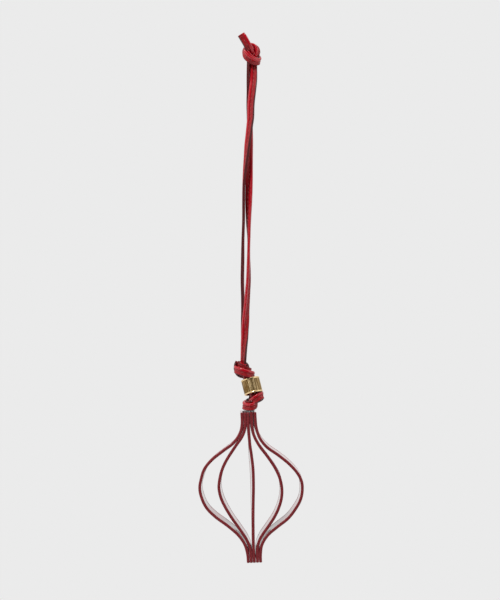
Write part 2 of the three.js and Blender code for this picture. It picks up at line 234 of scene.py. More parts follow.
# %% [markdown]
# ## Section of the lace
# The lace is a strip of leather folded lengthwise, so one edge is a round fold and the other
# shows the two layers, painted maroon. One row of stitches along the middle draws the layers
# together, which leaves a shallow valley with a plump bead of leather beside it at the fold.

# %% Draw the section of the folded strap
strap_width = 4.2 * mm
strap_thickness = 1.75 * mm
# across from the open edge at -1 to the fold at 1, and half the thickness there
upper_half_shares = [
    (1.0, 0.0), (0.985, 0.34), (0.93, 0.62), (0.83, 0.84), (0.68, 0.97), (0.5, 0.98),
    (0.34, 0.88), (0.2, 0.74), (0.09, 0.6), (-0.1, 0.56), (-0.26, 0.58), (-0.4, 0.68),
    (-0.56, 0.77), (-0.75, 0.82), (-0.88, 0.9), (-0.96, 0.82), (-1.0, 0.5), (-0.985, 0.16),
    (-0.94, 0.0),
]
strap_shares = upper_half_shares + [(x, -y) for x, y in upper_half_shares[-2:0:-1]]
strap_section = [(x * strap_width / 2, y * strap_thickness / 2) for x, y in strap_shares]
print("strap section of", len(strap_section), "points")

# %% [markdown]
# ## Helpers for materials
# A material is a small graph of nodes. The graphs here mostly do sums on places: how far across the
# strap, how far from the row of stitches, how far up the bead. Each helper makes one node, feeds it
# with numbers, colours or other nodes, and returns its output, so that a graph reads like a sum.

# %% Make single nodes
def material(name):
    made = bpy.data.materials.new(name)
    made.use_nodes = True
    tree = made.node_tree
    return made, tree, tree.nodes["Principled BSDF"]


def feed(tree, socket, value):
    if isinstance(value, tuple):
        socket.default_value = (*value, 1)
    elif isinstance(value, (int, float)):
        socket.default_value = value
    else:
        tree.links.new(value, socket)


def math_node(tree, operation, *values):
    made = tree.nodes.new("ShaderNodeMath")
    made.operation = operation
    for socket, value in zip(made.inputs, values):
        feed(tree, socket, value)
    return made.outputs[0]


def ramp(tree, value, low, high, to_low=0.0, to_high=1.0):
    made = tree.nodes.new("ShaderNodeMapRange")
    made.interpolation_type = "SMOOTHSTEP"
    for socket, fed in zip(made.inputs, (value, low, high, to_low, to_high)):
        feed(tree, socket, fed)
    return made.outputs["Result"]


def mix_value(tree, factor, first, second):
    made = tree.nodes.new("ShaderNodeMix")
    for i, fed in ((0, factor), (2, first), (3, second)):
        feed(tree, made.inputs[i], fed)
    return made.outputs[0]


def mix_colour(tree, factor, first, second):
    made = tree.nodes.new("ShaderNodeMix")
    made.data_type = "RGBA"
    for i, fed in ((0, factor), (6, first), (7, second)):
        feed(tree, made.inputs[i], fed)
    return made.outputs[2]


print("helpers for numbers and colours are ready")

# %% [markdown]
# Noise makes leather and brass uneven, and a bump node turns a height into shading. The place
# comes from one of two sources. A bent strap reads the place that the sweep wrote into it, so its
# pattern bends along. A rigid piece reads its own object coordinates, moved by a Mapping node so
# that they start at the middle of the piece and follow its lean.

# %% Make textures and read places
def noise(tree, vector, scale, detail=3, roughness=0.5):
    made = tree.nodes.new("ShaderNodeTexNoise")
    made.inputs["Scale"].default_value = scale
    made.inputs["Detail"].default_value = detail
    made.inputs["Roughness"].default_value = roughness
    tree.links.new(vector, made.inputs["Vector"])
    return made.outputs["Fac"]


def bump(tree, height, strength, distance, onto=None):
    made = tree.nodes.new("ShaderNodeBump")
    made.inputs["Strength"].default_value = strength
    made.inputs["Distance"].default_value = distance
    tree.links.new(height, made.inputs["Height"])
    if onto:
        tree.links.new(onto, made.inputs["Normal"])
    return made.outputs["Normal"]


def place_in_strap(tree):
    made = tree.nodes.new("ShaderNodeAttribute")
    made.attribute_name = "strap_place"
    return made.outputs["Vector"]


def place_on_object(tree, start=None):
    where = tree.nodes.new("ShaderNodeTexCoord").outputs["Object"]
    if start is None:
        return where
    moved = tree.nodes.new("ShaderNodeMapping")
    moved.vector_type = "TEXTURE"
    moved.inputs["Location"].default_value = start.translation
    moved.inputs["Rotation"].default_value = start.to_euler()
    tree.links.new(where, moved.inputs["Vector"])
    return moved.outputs["Vector"]


def split(tree, vector):
    made = tree.nodes.new("ShaderNodeSeparateXYZ")
    tree.links.new(vector, made.inputs[0])
    return tuple(made.outputs)


def away_from(tree, value, centre):
    return math_node(tree, "ABSOLUTE", math_node(tree, "SUBTRACT", value, centre))


print("helpers for textures and places are ready")

# %% [markdown]
# ## Leather of the lace
# The leather is a saturated red that varies a little from place to place. The place across the
# strap tells the plump fold, the crease beside it, the stitched face and the painted open edge
# apart. The crease gets a painted shade, as dark as the shaded valley beside the fold. An image
# could hold all this, but it would have to be unwrapped, and it would blur in the close views.

# %% Colour the lace's red leather
red_fold = (0.43, 0.001, 0.010)
# painted sheen: the face red is partly its own duller red and partly a pinkish painted reflection;
# the fold red stays pure
red_face_painted_sheen = (0.33, 0.016, 0.020)
red_deep = (0.22, 0.006, 0.010)
red_painted_crease_shade = (0.10, 0.001, 0.003)
maroon_paint = (0.115, 0.016, 0.018)
maroon_between_layers = (0.03, 0.004, 0.005)

lace_red, tree, shader = material("lace_red_leather")
in_strap = place_in_strap(tree)
across, through, along = split(tree, in_strap)
blotch = noise(tree, in_strap, 350, 3)
face = mix_colour(tree, ramp(tree, blotch, 0.4, 0.8), red_face_painted_sheen, red_deep)
folded = ramp(tree, across, 0.3 * mm, 0.6 * mm)
# painted shade: the crease beside the fold is darkened like the shaded valley there
crease_shade_mask = ramp(tree, away_from(tree, across, 0.22 * mm), 0.05 * mm, 0.2 * mm, 0.6, 0)
leather = mix_colour(tree, folded, face, red_fold)
leather = mix_colour(tree, crease_shade_mask, leather, red_painted_crease_shade)
wear = ramp(tree, noise(tree, in_strap, 900, 2), 0.3, 0.7, -0.06 * mm, 0.06 * mm)
painted = ramp(tree, math_node(tree, "ADD", across, wear), -1.82 * mm, -1.7 * mm, 1, 0)
layered = ramp(tree, away_from(tree, through, 0), 0.05 * mm, 0.2 * mm, 0.35, 1)
paint = mix_colour(tree, layered, maroon_between_layers, maroon_paint)
tree.links.new(mix_colour(tree, painted, leather, paint), shader.inputs["Base Color"])
print("coloured", lace_red.name)

# %% [markdown]
# Handling polishes the crest of a fold, so the clear coat is strong there and faint elsewhere. The
# grain goes into both the bump and the roughness. Where a thread dives into the leather it pulls a
# small pit: a row of them is a bump that repeats with the pitch of the stitches.

# %% Polish and dent the lace's leather
stitch_pitch = 2.65 * mm

grain = noise(tree, in_strap, 2600, 3, 0.5)
fine = bump(tree, grain, 0.1, 0.03 * mm)
pitches = math_node(tree, "FRACT", math_node(tree, "DIVIDE", along, stitch_pitch))
pit_along = ramp(tree, away_from(tree, pitches, 0.5), 0.3, 0.5, 0, 1)
pit_across = ramp(tree, away_from(tree, across, -0.25 * mm), 0.15 * mm, 0.6 * mm, 1, 0)
pits = math_node(tree, "MULTIPLY", pit_along, pit_across)
dented = bump(tree, math_node(tree, "SUBTRACT", 1.0, pits), 0.2, 0.25 * mm, fine)
tree.links.new(dented, shader.inputs["Normal"])
tree.links.new(ramp(tree, grain, 0.3, 0.7, 0.34, 0.44), shader.inputs["Roughness"])
crest = ramp(tree, across, 0.7 * mm, 1 * mm)
tree.links.new(ramp(tree, crest, 0, 1, 0.08, 0.6), shader.inputs["Coat Weight"])
shader.inputs["Specular IOR Level"].default_value = 0.14
shader.inputs["Coat Roughness"].default_value = 0.14
shader.inputs["Coat IOR"].default_value = 1.7
print("polished", lace_red.name)

# %% [markdown]
# ## Thread
# The thread is waxed and a touch paler than the leather. At half a millimetre thick its twist is
# below what any view shows, so a fine noise in the colour and the bump stands for the fibres.

# %% Make the thread
thread_dark = (0.30, 0.028, 0.030)
thread_pale = (0.42, 0.075, 0.07)

thread, tree, shader = material("lace_thread")
fibre = noise(tree, place_in_strap(tree), 3000, 2)
tree.links.new(mix_colour(tree, fibre, thread_dark, thread_pale), shader.inputs["Base Color"])
tree.links.new(bump(tree, fibre, 0.3, 0.05 * mm), shader.inputs["Normal"])
shader.inputs["Roughness"].default_value = 0.45
shader.inputs["Specular IOR Level"].default_value = 0.2
print("made", thread.name)

# %% [markdown]
# ## Stitches
# Each stitch is a short thread that comes up through one hole and goes down through the next. A
# stretched icosphere, half sunk in the valley, is enough for a thread of half a millimetre. There
# are many of them, so each has only a few faces. They are made in the same mesh as their strap, so
# that they bend with it.

# %% Sew a row of stitches on both faces of a strap
stitch_length = 1.75 * mm
stitch_width = 0.6 * mm
stitch_slant = math.radians(9)
stitch_across = -0.06 * strap_width
stitch_seat = 0.29 * strap_thickness


def sew(bm, frames):
    place = bm.verts.layers.float_vector.get("strap_place")
    lengths = np.array([(b.translation - a.translation).length for a, b in zip(frames, frames[1:])])
    along = np.concatenate([[0], np.cumsum(lengths)])
    shape = Matrix.Diagonal((stitch_width / 2, stitch_width / 2, stitch_length / 2, 1))
    for i in range(int(along[-1] / stitch_pitch)):
        middle = (i + 0.5) * stitch_pitch
        frame_at = frames[int(np.argmin(abs(along - middle)))]
        for face in (1, -1):
            seat = Matrix.Translation((stitch_across, face * stitch_seat, 0))
            slant = Matrix.Rotation(face * stitch_slant, 4, "Y")
            made = bmesh.ops.create_icosphere(
                bm, subdivisions=1, radius=1, matrix=frame_at @ seat @ slant @ shape
            )["verts"]
            for vert in made:
                vert[place] = (0, face * strap_thickness / 2, middle)
                for near in vert.link_faces:
                    near.material_index = 1


print("one stitch every", stitch_pitch / mm, "mm")

# %% [markdown]
# ## Free strands of the loop
# Between the top knot and the bead knot the lace hangs as two free straps. They are the charm's
# cords, so they come first. They turn once round each other on the way down, and each turns over
# as it goes, so that now the fold, now the stitched face and now the painted edge faces the
# viewer. Each row is a place in millimetres and the turn of the painted edge about the vertical.

# %% Route the two strands
strand_left_route = [
    ((-1.5, 0.4, 5.2), -90), ((-1.5, -0.3, 2.3), -95), ((-1.55, 0.5, -5.7), -97),
    ((-1.4, 1.9, -11.4), -101), ((-1.2, 2.4, -20), -112), ((-0.75, 2.4, -27.4), -122),
    ((-0.57, 2.3, -34.2), -130), ((-0.6, 2.2, -39.9), -138), ((-0.85, 2, -48.4), -152),
    ((-0.97, 1.7, -54.1), -163), ((-1, 1.5, -59.8), -175), ((-1.1, 1.2, -68.4), -198),
    ((-1.2, 0.9, -74.1), -213), ((-1.3, 0.7, -80.9), -232), ((-1.35, 0.3, -87.8), -248),
    ((-1.25, 0, -94), -263), ((-1.25, 0, -99.8), -270), ((-1.35, -0.1, -106.6), -274),
    ((-1.37, -0.3, -111.1), -281), ((-1.48, -0.6, -119.7), -292), ((-1.88, -0.9, -125.4), -297),
    ((-2.25, -1.3, -131.1), -301), ((-2.8, -1.7, -137.9), -313), ((-3.08, -1.9, -142.5), -334),
    ((-3.42, -2.1, -148.2), -362), ((-3.65, -2.2, -152.2), -378), ((-4, -1.8, -156.8), -398),
    ((-4.2, -0.9, -160.7), -408), ((-4.4, 0.5, -165.5), -414), ((-4.5, 1.2, -168.3), -414),
]
strand_right_route = [
    ((1.35, 0.9, 5.2), 0), ((1.42, 0.4, 2.3), 0), ((1.4, -0.7, -5.7), -12),
    ((0.85, -1.9, -11.4), -20), ((-0.06, -2.2, -20), -26), ((-0.27, -2.2, -27.4), -33),
    ((-0.75, -2.1, -31.4), -40), ((-1.4, -2, -37), -46), ((-2.15, -1.9, -42.8), -53),
    ((-2.65, -1.7, -48.4), -62), ((-3.2, -1.4, -54.1), -71), ((-3.65, -1.1, -59.8), -79),
    ((-4.05, -0.8, -65.6), -88), ((-4.2, -0.5, -74.1), -90), ((-4.25, -0.1, -85.5), -90),
    ((-4.6, 0, -96.9), -92), ((-4.73, 0.3, -108.3), -97), ((-4.9, 0.8, -119.7), -98),
    ((-4.65, 1.3, -131.1), -98), ((-4.67, 1.8, -137.9), -97), ((-4.8, 2.1, -142.5), -96),
    ((-4.85, 2.3, -148.2), -95), ((-4.7, 3, -156.8), -95), ((-4.4, 3.7, -165.5), -95),
    ((-4.3, 3.7, -168.3), -95),
]
print("rows of the strands:", len(strand_left_route), len(strand_right_route))

# %% [markdown]
# Each strand is one sweep with its stitches. It stands for its CAD node, and runs from the loop
# above to the knots below, with a smooth passage between.

# %% Lay the two strands
def turned_side(turn_deg):
    turn = math.radians(turn_deg)
    return Vector((math.cos(turn), math.sin(turn), 0))


def lay_strand(name, rows):
    places = [Vector(place) * mm for place, turn in rows]
    sides = [-turned_side(turn) for place, turn in rows]
    frames = frames_along(places, sides, 0.8 * mm)
    bm = new_bmesh()
    length = sweep(bm, strap_section, frames)
    sew(bm, frames)
    piece = finish_piece(name, bm, [lace_red, thread])
    path = [tuple(frame_at.translation) for frame_at in (*frames[::4], frames[-1])]
    return piece, length, path


cord_left, left_length, left_path = lay_strand("lace_strand_left", strand_left_route)
cord_right, right_length, right_path = lay_strand("lace_strand_right", strand_right_route)
print("strand lengths", round(left_length, 4), round(right_length, 4))

for piece, length, path, node_name in (
    (cord_left, left_length, left_path, "strand_left"),
    (cord_right, right_length, right_path, "strand_right"),
):
    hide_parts(node_name)
    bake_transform(piece)

# %% [markdown]
# ## Overhand knots
# An overhand knot is a loop with the end put through it. Seen from the front the lace goes up
# behind, comes round on the left, crosses the front as a belt, goes behind again and leaves at the
# top. The second half is the first half turned half round about the axis through the belt, so the
# table holds one half, in shares of the knot's size: back, left and up.

# %% Route an overhand knot
half_knot_shares = [
    (0.45, -0.25, -0.65), (0.85, -0.5, -0.05), (1.3, -0.4, 0.35), (1.5, 0.1, 0.58),
    (1.2, 0.8, 0.62), (0.5, 1.15, 0.52), (-0.15, 0.95, 0.36), (-0.5, 0.45, 0.18),
]
half_side_shares = [
    (0, -1, 0.15), (-0.3, -0.8, 0.6), (-0.3, -0.3, 1), (0, 0, 1),
    (0, 0, 1), (0, 0, 1), (0, 0, 1), (0, 0, 1),
]
print("rows in half a knot:", len(half_knot_shares))

# %% [markdown]
# No two knots in leather lie alike. The turn of the top knot stands up wide behind the tails. The
# lower knot climbs steeply across the front, and stays narrow where it turns up again. These halves
# have tables of their own, and the rest of each knot is the plain one.

# %% Route the halves that lie differently
# the first half of the top knot, whose turn stands up wide behind the tails
wide_half_shares = [
    (0.45, -0.1, -0.9), (0.5, -0.15, -0.15), (0.45, -0.4, 0.3), (0.75, -0.6, 0.55),
    (1.15, -0.36, 0.9), (1.32, 0.1, 1.05), (1.2, 0.7, 0.95), (0.68, 1, 0.7),
    (-0.12, 0.86, 0.46), (-0.5, 0.45, 0.2),
]
wide_side_shares = [
    (0, -1, 0.15), (-0.3, -0.9, 0.4), (-0.8, -0.4, 0.6), (-0.9, 0.5, 0.5), (-0.9, 0.4, 0.5),
    (-1, 0, 0.6), (-0.6, -0.5, 0.8), (-0.2, -0.4, 1), (0, 0, 1), (0, 0, 1),
]
# the first half of the lower knot, which climbs steeply across the front
steep_half_shares = [
    (0.45, -0.25, -0.65), (0.75, -0.15, -0.35), (1.1, 0, 0.1), (1.4, 0.45, 0.55),
    (1.1, 1, 0.92), (0.4, 1.2, 0.98), (-0.15, 0.95, 0.6), (-0.5, 0.45, 0.25),
]
steep_side_shares = [
    (0, -1, 0.15), (-0.3, -0.8, 0.6), (-0.3, -0.7, 0.8), (0, -0.6, 1),
    (0, -0.5, 1), (0, -0.2, 1), (0, 0, 1), (0, 0, 1),
]
# the second half of the lower knot, which stays narrow where it turns up
narrow_half_shares = [
    (0.45, -0.1, -0.65), (0.85, -0.15, -0.1), (1.25, -0.15, 0.32), (1.45, 0.15, 0.56),
    *half_knot_shares[4:],
]
narrow_side_shares = [(0, -1, 0.15), (-0.5, -0.5, 0.7), *half_side_shares[2:]]
plain_half = (half_knot_shares, half_side_shares)
wide_half = (wide_half_shares, wide_side_shares)
steep_half = (steep_half_shares, steep_side_shares)
narrow_half = (narrow_half_shares, narrow_side_shares)
for shares, side_shares in (plain_half, wide_half, steep_half, narrow_half):
    print("half a knot with", len(shares), "places and", len(side_shares), "sides")

# %% [markdown]
# A knot is its two halves, scaled to size and turned into place, with its centre and its size in
# millimetres. The belt across the front joins them. The shifts slide the outer and the inner strap
# sideways along their width, because two straps that share a turn never lie exactly on each other.

# %% Put a knot's two halves together
def knot_rows(first_half, last_half, centre, size, tall_share, turn_deg, lean_deg, nod_deg, shifts):
    turn = (
        Matrix.Rotation(-math.radians(lean_deg), 3, "Y")
        @ Matrix.Rotation(math.radians(nod_deg), 3, "X")
        @ Matrix.Rotation(math.radians(turn_deg), 3, "Z")
    )
    belt_middle = (-0.58, 0, 0)
    belt_side = (0, 0, 1)
    shares, sides = first_half
    last_shares, last_sides = last_half
    shares = [*shares, belt_middle, *((b, -left, -up) for b, left, up in reversed(last_shares))]
    sides = [*sides, belt_side, *((-b, left, up) for b, left, up in reversed(last_sides))]
    rows = []
    for (back, left, up), (side_back, side_left, side_up) in zip(shares, sides):
        place = turn @ Vector((-left, back, up * tall_share)) * size + Vector(centre)
        rows.append((place, turn @ Vector((-side_left, side_back, side_up)), shifts))
    return rows


whole = knot_rows(plain_half, plain_half, (0, 0, 0), 1, 1, 0, 0, 0, (0, 0))
print("a whole knot has", len(whole), "rows")

# %% [markdown]
# Both straps of the lace run through a knot face to face. In the lower knots the inner one is
# turned over, so that the outer one's fold and the inner one's painted edge lie on the same side,
# as in a strap that is doubled back on itself. In the top knot both folds lie the same way. The
# direction of width must not jump to its opposite between two rows, so each row keeps to the side
# of the one before.

# %% Run a pair of straps along a line
pair_half = 0.86 * mm


def keep_side(rows):
    kept = [rows[0]]
    for place, side, shifts in rows[1:]:
        side = Vector(side)
        kept.append((place, -side if side.dot(Vector(kept[-1][1])) < 0 else side, shifts))
    return kept


def lay_pair(name, rows, inner_flip, shorten=(0, 0)):
    rows = keep_side([(Vector(place) * mm, Vector(side), shifts) for place, side, shifts in rows])
    places, sides, shifts = (list(column) for column in zip(*rows))
    bm = new_bmesh()
    for which, offset, flip in ((0, pair_half, False), (1, -pair_half, inner_flip)):
        moved = [pair[which] * mm for pair in shifts]
        frames = frames_along(places, sides, 0.6 * mm, offset, moved, flip)
        frames = frames[: len(frames) - shorten[which]]
        frames = round_ends(frames, strap_width / 2, strap_thickness / 2, 0.3 * mm)
        sweep(bm, strap_section, frames)
        sew(bm, frames)
    return finish_piece(name, bm, [lace_red, thread])


print("the two straps lie", 2 * pair_half / mm, "mm apart")

# %% [markdown]
# The lower knots are one piece with the straps between them: up from the bight, through the lower
# knot, through the bead as its core, and through the bead knot to where the strands begin. Nothing
# there bends when the charm swings, so it rides on one body.

# %% Tie the two lower knots
level = (0, 0)
foot_rows = [((-1.3, 0, -193.5), (-1, 0, 0), level), ((-1.2, 0, -192.9), (-1, 0, 0), level)]
lower_rows = knot_rows(
    steep_half, narrow_half, centre=(1, 1.2, -189.1), size=3.6, tall_share=1.16,
    turn_deg=180, lean_deg=-4, nod_deg=0, shifts=(-0.1, 0.7),
)
core_rows = [
    ((1.5, -0.3, -184.2), (-1, 0, 0), level), ((0.9, -0.1, -181.8), (-1, 0, 0), level),
    ((-0.1, 0.2, -178.8), (-1, 0, 0), level), ((-1.2, 0.3, -176.2), (-1, 0, 0), level),
]
bead_knot_rows = knot_rows(
    plain_half, plain_half, centre=(-3.8, -1.3, -169.9), size=3.7, tall_share=1,
    turn_deg=0, lean_deg=1, nod_deg=0, shifts=(0.5, 2.2),
)
head_rows = [((-4.6, 0.6, -168.2), (1, 0, 0), level)]
lower_lace = lay_pair(
    "lace_lower_knots", foot_rows + lower_rows + core_rows + bead_knot_rows + head_rows, True
)
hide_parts("lower_knot", "core", "bead_knot")
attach(lower_lace, "knots")

# %% [markdown]
# The top knot leans back and nods, and its two tails stand up to the left. One tail is cut a little
# shorter than the other. Where the knot's turn stands up, the inner strap sinks behind the outer
# one, which opens the dark hollow beside the tails.

# %% Tie the top knot with its two tails
neck_rows = [((0.5, 1.5, 3.7), (1, 0, 0), level)]
top_rows = knot_rows(
    wide_half, plain_half, centre=(0, -0.9, 7.4), size=3.7, tall_share=1.0,
    turn_deg=0, lean_deg=-16, nod_deg=42, shifts=level,
)
turn_shifts = (0.3, -1.3)
for i in range(3, 8):
    place, side, _ = top_rows[i]
    top_rows[i] = (place, side, turn_shifts)
tail_rows = [
    ((-1.6, -3.7, 12.6), (0.9, 0, 0.4), level), ((-3.4, -5, 15.6), (0.9, 0, 0.5), level),
    ((-5.6, -5.8, 19.1), (0.8, 0, 0.6), level),
]
top_lace = lay_pair("lace_top_knot", neck_rows + top_rows + tail_rows, False, shorten=(0, 2))
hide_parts("top_knot", "tail_back", "tail_front")
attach(top_lace, "top")

# %% [markdown]
# ## Strips of the lantern
# Each strip is two layers of leather bonded back to back and set on edge, 12 mm deep. The faces
# are glazed red, and the edges are rounded and painted maroon, with the bond showing as a fine
# line along the middle. The bends follow tables of shares of the lantern's height and half width.

# %% Draw the strips' section
strip_half_depth = 6 * mm
strip_half_thickness = 0.84 * mm
strip_quarter = [
    (0, 0.72), (3, 0.72), (4.9, 0.72), (5.1, 0.74), (5.28, 0.82), (5.5, 0.84), (5.72, 0.79),
    (5.88, 0.65), (5.97, 0.42), (6, 0.18), (5.97, 0),
]
strip_section = (
    strip_quarter
    + [(x, -y) for x, y in strip_quarter[-2::-1]]
    + [(-x, -y) for x, y in strip_quarter[1:]]
    + [(-x, y) for x, y in strip_quarter[-2:0:-1]]
)
strip_section = [(x * mm, y * mm) for x, y in strip_section]
print("strip section of", len(strip_section), "points")

# %% [markdown]
# The lantern leans a little, so it has a place of its own: a matrix that carries its upright,
# centred numbers to where it hangs. The routes of the strips and the painted shade where they are
# glued use it.

# %% Place the lantern
lantern_height = 85
lantern_half_width = 29
lantern_lean = math.radians(2.2)
lantern_top = Matrix.Translation(Vector((-1.5, 0, -194.6)) * mm)
lantern_place = lantern_top @ Matrix.Rotation(-lantern_lean, 4, "Y")
print("the lantern is", lantern_height, "mm high and", 2 * lantern_half_width, "mm wide")

# %% [markdown]
# ## Leather of the strips
# The faces of the strips are glazed, so they mirror the bright studio and look pale at a glancing
# angle. The edges are painted maroon and rubbed, with the bond as a fine dark line. Where the
# strips are glued side by side, at the neck and the foot, their faces have no glaze and carry a
# painted shade, as dark as the narrow gaps between them: otherwise pale lines would shine out
# between them.

# %% Colour the strips' leather
face_light = (0.34, 0.012, 0.022)
face_dark = (0.24, 0.009, 0.015)
face_painted_gap_shade = (0.05, 0.004, 0.006)
edge_light = (0.235, 0.022, 0.028)
edge_dark = (0.205, 0.018, 0.023)
bond_dark = (0.075, 0.010, 0.012)

strip_leather, tree, shader = material("strip_leather")
in_strip = place_in_strap(tree)
across, through, along = split(tree, in_strip)
out_from_middle, _, up = split(tree, place_on_object(tree, lantern_place))
at_neck = ramp(tree, up, -12 * mm, -8.5 * mm)
at_foot = ramp(tree, up, -78 * mm, -75 * mm, 1, 0)
inside = ramp(tree, away_from(tree, out_from_middle, 0), 3.3 * mm, 3.6 * mm, 1, 0)
# painted shade: where the strips are glued, their faces are darkened like the gaps between them
glued_and_shaded = math_node(tree, "MULTIPLY", math_node(tree, "MAXIMUM", at_neck, at_foot), inside)
blotch = ramp(tree, noise(tree, in_strip, 220, 4), 0.3, 0.75)
face = mix_colour(tree, glued_and_shaded, mix_colour(tree, blotch, face_light, face_dark), face_painted_gap_shade)
wear = ramp(tree, noise(tree, in_strip, 300, 2), 0.3, 0.7, -0.05 * mm, 0.05 * mm)
from_middle = math_node(tree, "ADD", away_from(tree, across, 0), wear)
painted = ramp(tree, from_middle, 5.12 * mm, 5.26 * mm)
edge_blotch = ramp(tree, noise(tree, in_strip, 420, 3), 0.3, 0.7)
bonded = ramp(tree, away_from(tree, through, 0), 0.03 * mm, 0.16 * mm, 0.7, 1)
paint = mix_colour(tree, bonded, bond_dark, mix_colour(tree, edge_blotch, edge_light, edge_dark))
tree.links.new(mix_colour(tree, painted, face, paint), shader.inputs["Base Color"])
print("coloured", strip_leather.name)

# %% [markdown]
# The glaze is a clear coat that is there or not: full on the open faces, hardly any on paint and
# glue. The roughness under it changes in the same places.

# %% Glaze the strips' leather
unpainted = math_node(tree, "SUBTRACT", 1.0, painted)
unglued = math_node(tree, "SUBTRACT", 1.0, glued_and_shaded)
glazed = math_node(tree, "MULTIPLY", unpainted, unglued)
grain = noise(tree, in_strip, 2200, 4, 0.6)
tree.links.new(bump(tree, grain, 0.1, 0.04 * mm), shader.inputs["Normal"])
tree.links.new(ramp(tree, glazed, 0, 1, 0.5, 0.12), shader.inputs["Roughness"])
tree.links.new(ramp(tree, glazed, 0, 1, 0.05, 1), shader.inputs["Coat Weight"])
shader.inputs["Specular IOR Level"].default_value = 0.3
shader.inputs["Coat Roughness"].default_value = 0.06
print("glazed", strip_leather.name)

# %% [markdown]
# ## Bends of the strips
# Curves drawn by hand in the editor would do, but a table can be corrected row by row against a
# measured outline. Each strip starts and ends upright in the neck and the foot, and turns a little
# about its own length, as leather on edge does when it is bent.

# %% Route the five strips
# each row: share of the height down, share of the half width out, turn of the depth in degrees
strip_rows_by_name = {
    "outer_left": [
        (0, -0.129, 1.5), (0.098, -0.139, 0), (0.151, -0.19, -2), (0.203, -0.305, -5.5),
        (0.247, -0.485, -7.5), (0.305, -0.72, -6.5), (0.364, -0.883, -4), (0.431, -0.963, -2),
        (0.492, -1, -1), (0.553, -0.973, -0.8), (0.623, -0.886, 0), (0.686, -0.718, 0),
        (0.751, -0.478, 0), (0.814, -0.284, 0), (0.877, -0.168, 0), (0.939, -0.124, 0.8),
        (1, -0.116, 1.2),
    ],
    "inner_left": [
        (0, -0.071, 1.5), (0.107, -0.08, 0.4), (0.16, -0.135, -2), (0.226, -0.27, -4.4),
        (0.309, -0.442, -4), (0.376, -0.549, -2), (0.444, -0.609, -1), (0.497, -0.623, -2),
        (0.558, -0.593, -2), (0.62, -0.522, -1), (0.699, -0.397, 0), (0.777, -0.248, 0),
        (0.847, -0.126, 0), (0.909, -0.068, 0.8), (1, -0.057, 1.2),
    ],
    "middle": [
        (0, -0.013, 1.5), (0.123, -0.012, 1.5), (0.207, 0.001, 1), (0.284, 0.013, 4.5),
        (0.376, 0.029, 6), (0.49, 0.029, 4.8), (0.604, 0.017, 3), (0.757, 0.006, 0.5),
        (0.887, -0.003, 0.8), (1, 0.002, 1.2),
    ],
    "inner_right": [
        (0, 0.05, 2.2), (0.101, 0.057, 2.4), (0.155, 0.084, 2.5), (0.225, 0.176, 4.5),
        (0.295, 0.319, 4.8), (0.374, 0.467, 3), (0.444, 0.559, 1), (0.513, 0.592, 1),
        (0.574, 0.579, 1), (0.634, 0.528, 0.5), (0.701, 0.431, 0), (0.769, 0.289, 0),
        (0.835, 0.148, 0), (0.888, 0.083, 1), (1, 0.06, 1.4),
    ],
    "outer_right": [
        (0, 0.117, 3.2), (0.056, 0.12, 3.5), (0.109, 0.134, 3.5), (0.172, 0.196, 1.5),
        (0.235, 0.334, 0), (0.291, 0.548, 0), (0.355, 0.762, 0), (0.418, 0.912, 0.5),
        (0.472, 0.981, 1), (0.526, 0.99, 1), (0.587, 0.957, 0), (0.646, 0.861, 0),
        (0.713, 0.698, 0), (0.771, 0.468, 0), (0.822, 0.283, 0), (0.881, 0.168, 0),
        (0.942, 0.128, 1.2), (1, 0.121, 1.6),
    ],
}
for name, rows in strip_rows_by_name.items():
    print("strip", name, "has", len(rows), "rows")

# %% [markdown]
# The strips are swept in the lantern's own numbers and carried to its place frame by frame, so
# the mesh is already where the lantern hangs.

# %% Bend the five strips
def bend_strip(name):
    places = []
    sides = []
    for down, out, turn_deg in strip_rows_by_name[name]:
        turn = math.radians(turn_deg)
        places.append(Vector((out * lantern_half_width, 0, -down * lantern_height)) * mm)
        sides.append(Vector((-math.sin(turn), math.cos(turn), 0)))
    frames = [lantern_place @ f for f in frames_along(places, sides, 1.0 * mm)]
    frames = round_ends(frames, strip_half_depth, strip_half_thickness, 0.4 * mm)
    bm = new_bmesh()
    sweep(bm, strip_section, frames)
    return finish_piece("leather_strip_" + name, bm, [strip_leather])


for name in strip_rows_by_name:
    piece = bend_strip(name)
    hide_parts("strip_" + name)
    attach(piece, "lantern")

# %% [markdown]
# ## The bight under the lower knot
# The lace reaches the strips through a small bight that stays hidden among their necks. The CAD
# node already has its shape, so it only gets the lace's leather.

# %% Finish the bight
bight_red, tree, shader = material("bight_red_leather")
bight_blotch = noise(tree, place_on_object(tree), 600, 3)
tree.links.new(mix_colour(tree, bight_blotch, red_face_painted_sheen, red_deep), shader.inputs["Base Color"])
tree.links.new(bump(tree, bight_blotch, 0.3, 0.05 * mm), shader.inputs["Normal"])
shader.inputs["Roughness"].default_value = 0.45
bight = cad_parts["bight"]
bight.data.materials.clear()
bight.data.materials.append(bight_red)
print("finished", bight.name)

# %% [markdown]
# ## The brass bead
# The bead is a short barrel with fine lengthwise flutes between two smooth, polished rims. A
# circle of points is extruded from ring to ring: up the bore's edge, out over a rim, in to the
# barrel and back over the other rim. On the barrel the radius follows a row of small waves, which
# are the flutes. Bridging the last ring with the first one closes the bore.

